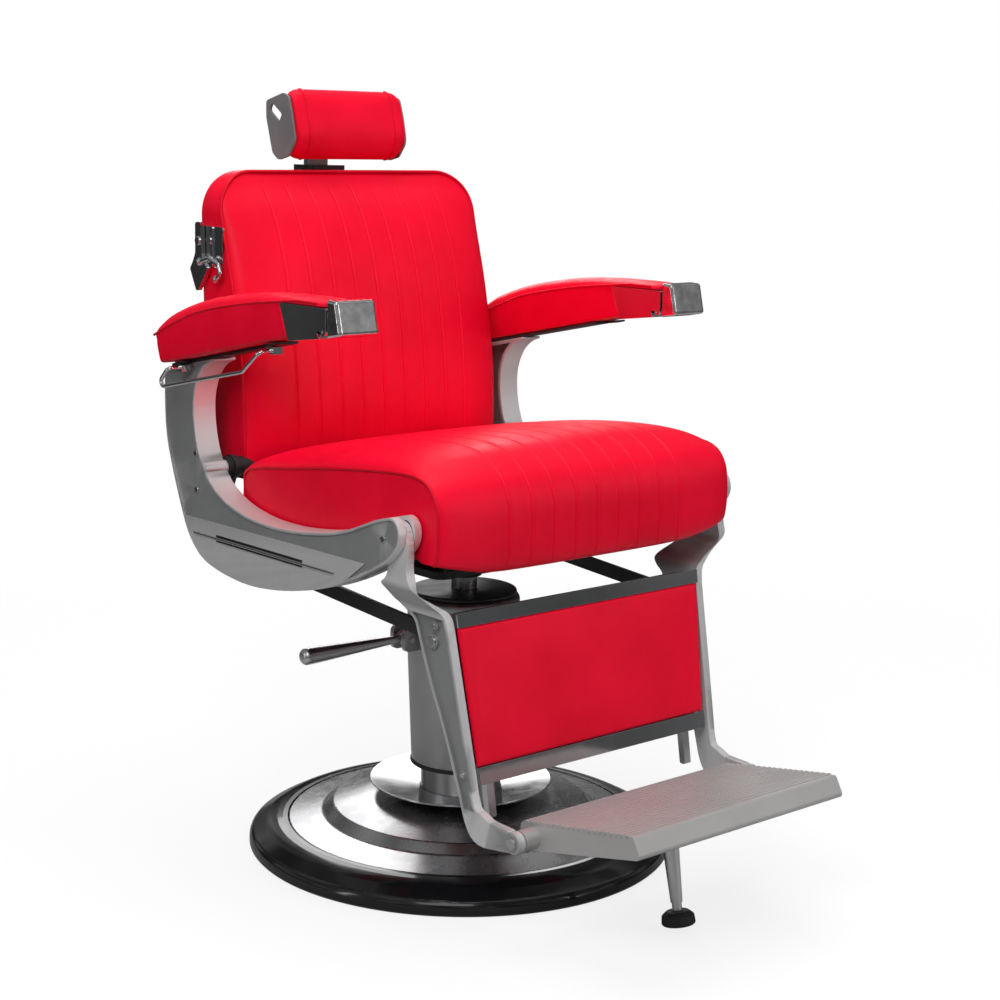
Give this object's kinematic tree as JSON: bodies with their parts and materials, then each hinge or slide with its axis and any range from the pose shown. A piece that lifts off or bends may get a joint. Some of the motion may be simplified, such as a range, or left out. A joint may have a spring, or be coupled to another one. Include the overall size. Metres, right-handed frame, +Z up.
{
  "type": "hydraulic barber chair",
  "caption": "Hydraulic barber chair with a domed round base, tapered column, cast side frames, channelled red seat and back, headrest, linked legrest and folding step.",
  "frame": {"origin": "on the floor, at the centre of the round base", "axes": "+Z up; the chair faces -Y; the seated person's right-hand side is -X"},
  "size_m": [0.724, 1.0028, 1.158],
  "materials": {
    "vinyl_red": "smooth semi-gloss upholstery vinyl with tonal piping",
    "chrome": "bright chrome plate",
    "cast_silver": "satin silver paint on cast aluminium",
    "satin_steel": "satin brushed steel",
    "step_aluminium": "cast and lightly polished aluminium",
    "black_gloss": "glossy black skirt",
    "black_rubber": "matte black rubber",
    "dark_steel": "semi-matte dark painted steel",
    "zinc": "zinc-plated fastener",
    "cheek_grey": "fine textured grey paint"
  },
  "bodies": {
    "base": {"base_ring": "black_gloss", "base_plate": "chrome", "base_bolts": "zinc", "pump_cylinder": "satin_steel", "collar_dish": "chrome", "cylinder_gland": "dark_steel"},
    "lift_ram": {"ram": "satin_steel"},
    "chair": {"column_cover": "satin_steel", "cover_lip": "black_rubber", "cover_cap": "dark_steel", "neck_tube": "zinc", "lever_bracket": "satin_steel", "lever_bracket_bolts": "zinc", "lever_pin": "zinc", "cross_bars": "dark_steel", "saddle_bracket": "dark_steel", "saddle_bolts": "zinc", "seat_buffer": "black_rubber", "seat_pan": "dark_steel", "seat_cushion": "vinyl_red", "frame_screws": "zinc", "frame_trim_strips": "chrome", "frame_pivot_pins": "zinc", "pivot_washers": "black_rubber", "arm_plates": "dark_steel", "arm_ends": "chrome", "ashtray_pins": "zinc", "towel_rail": "chrome", "side_frame_left": "cast_silver", "side_frame_right": "cast_silver", "arm_pad_left": "vinyl_red", "arm_pad_right": "vinyl_red"},
    "foot_pump": {"pump_lever": "chrome"},
    "back": {"back_frame": "dark_steel", "back_shell": "vinyl_red", "back_cushion": "vinyl_red", "handle_plate": "chrome", "back_link_pins": "zinc", "headrest_socket": "dark_steel"},
    "latch_handle": {"recline_handle": "chrome"},
    "headrest_stem": {"headrest_post": "satin_steel", "headrest_pin": "zinc"},
    "headrest": {"headrest_bracket": "dark_steel", "headrest_side_plates": "cheek_grey", "headrest_pad": "vinyl_red"},
    "legrest": {"leg_frame_left": "cast_silver", "leg_frame_right": "cast_silver", "legrest_frame": "dark_steel", "legrest_panel": "vinyl_red", "legrest_trim_strips": "chrome", "leg_fasteners": "zinc", "leg_link_pins": "zinc", "footrest_pins": "zinc"},
    "links": {"link_bars": "dark_steel"},
    "step": {"footrest": "step_aluminium", "support_leg_pin": "zinc"},
    "prop": {"support_leg": "cast_silver", "support_foot": "black_rubber"},
    "ashtray_l": {"ashtray_left": "chrome"},
    "ashtray_r": {"ashtray_right": "chrome"}
  },
  "joints": [
    {"name": "lift", "type": "slide", "parent": "base", "child": "lift_ram", "axis": [0, 0, 1], "range_m": [0, 0.15]},
    {"name": "seat_swivel", "type": "hinge", "parent": "lift_ram", "child": "chair", "pos_m": [0, 0, 0.4], "axis": [0, 0, 1], "continuous": true},
    {"name": "pump_stroke", "type": "hinge", "parent": "chair", "child": "foot_pump", "pos_m": [-0.108, 0.01, 0.34], "axis": [0, -1, 0], "range_deg": [-12, 20]},
    {"name": "back_recline", "type": "hinge", "parent": "chair", "child": "back", "pos_m": [0, 0.233, 0.588], "axis": [-1, 0, 0], "range_deg": [0, 55]},
    {"name": "legrest_raise", "type": "hinge", "parent": "chair", "child": "legrest", "pos_m": [0, -0.207, 0.556], "axis": [-1, 0, 0], "range_deg": [0, 55]},
    {"name": "link_turn", "type": "hinge", "parent": "back", "child": "links", "pos_m": [0, 0.209, 0.4395], "axis": [-1, 0, 0], "range_deg": [-55, 0]},
    {"name": "headrest_height", "type": "slide", "parent": "back", "child": "headrest_stem", "axis": [0, 0, 1], "range_m": [0, 0.11]},
    {"name": "headrest_tilt", "type": "hinge", "parent": "headrest_stem", "child": "headrest", "pos_m": [0, 0.392, 1.098], "axis": [-1, 0, 0], "range_deg": [-8, 35]},
    {"name": "recline_latch", "type": "hinge", "parent": "back", "child": "latch_handle", "pos_m": [-0.259, 0.335, 0.925], "axis": [1, 0, 0], "range_deg": [-12, 12]},
    {"name": "step_fold", "type": "hinge", "parent": "legrest", "child": "step", "pos_m": [0, -0.392, 0.159], "axis": [-1, 0, 0], "range_deg": [0, 80]},
    {"name": "prop_fold", "type": "hinge", "parent": "step", "child": "prop", "pos_m": [0, -0.455, 0.128], "axis": [-1, 0, 0], "range_deg": [0, 85]},
    {"name": "ashtray_left_tilt", "type": "hinge", "parent": "chair", "child": "ashtray_l", "pos_m": [0.322, -0.113, 0.829], "axis": [1, 0, 0], "range_deg": [0, 50]},
    {"name": "ashtray_right_tilt", "type": "hinge", "parent": "chair", "child": "ashtray_r", "pos_m": [-0.322, -0.113, 0.829], "axis": [1, 0, 0], "range_deg": [0, 50]}
  ],
  "couplings": [
    {"joint": "legrest_raise", "follows": "back_recline", "ratio": 1},
    {"joint": "link_turn", "follows": "back_recline", "ratio": -1}
  ]
}
